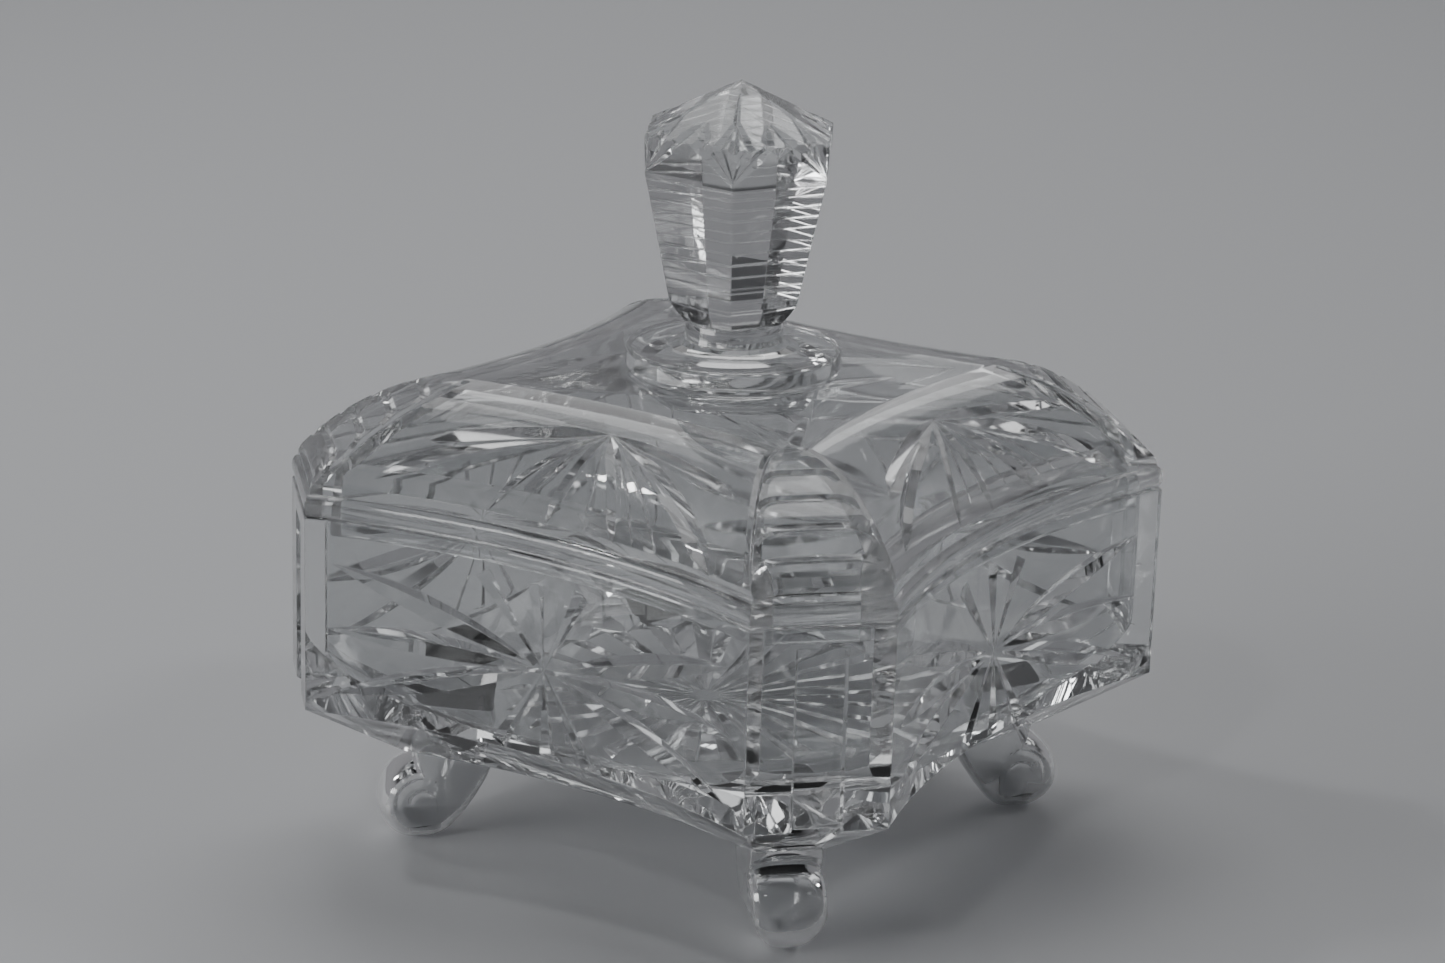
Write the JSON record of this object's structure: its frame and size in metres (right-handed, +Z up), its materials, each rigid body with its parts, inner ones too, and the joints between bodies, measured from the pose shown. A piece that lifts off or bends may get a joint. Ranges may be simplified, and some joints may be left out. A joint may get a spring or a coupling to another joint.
{
  "type": "powder jar",
  "caption": "Covered square powder jar in cut glass with hollowed sides, cut corners, scroll feet and a domed lift-off lid with a faceted knob.",
  "frame": {"origin": "on the table, under the middle of the jar", "axes": "+Z up, with the sides facing along X and Y and a foot under each corner"},
  "size_m": [0.135, 0.135, 0.1476],
  "materials": {
    "bowl_glass": "heavy clear crystal, polished, with ground and polished wheel cuts",
    "lid_glass": "heavy clear crystal, polished, with ground and polished wheel cuts"
  },
  "bodies": {
    "bowl": {"bowl": "bowl_glass", "foot_front_left": "bowl_glass", "foot_front_right": "bowl_glass", "foot_back_right": "bowl_glass", "foot_back_left": "bowl_glass"},
    "lid": {"lid": "lid_glass", "disc": "lid_glass", "knob": "lid_glass"}
  },
  "joints": [
    {"name": "lid_lift", "type": "slide", "parent": "bowl", "child": "lid", "axis": [0, 0, 1], "range_m": [0, 0.07]}
  ]
}
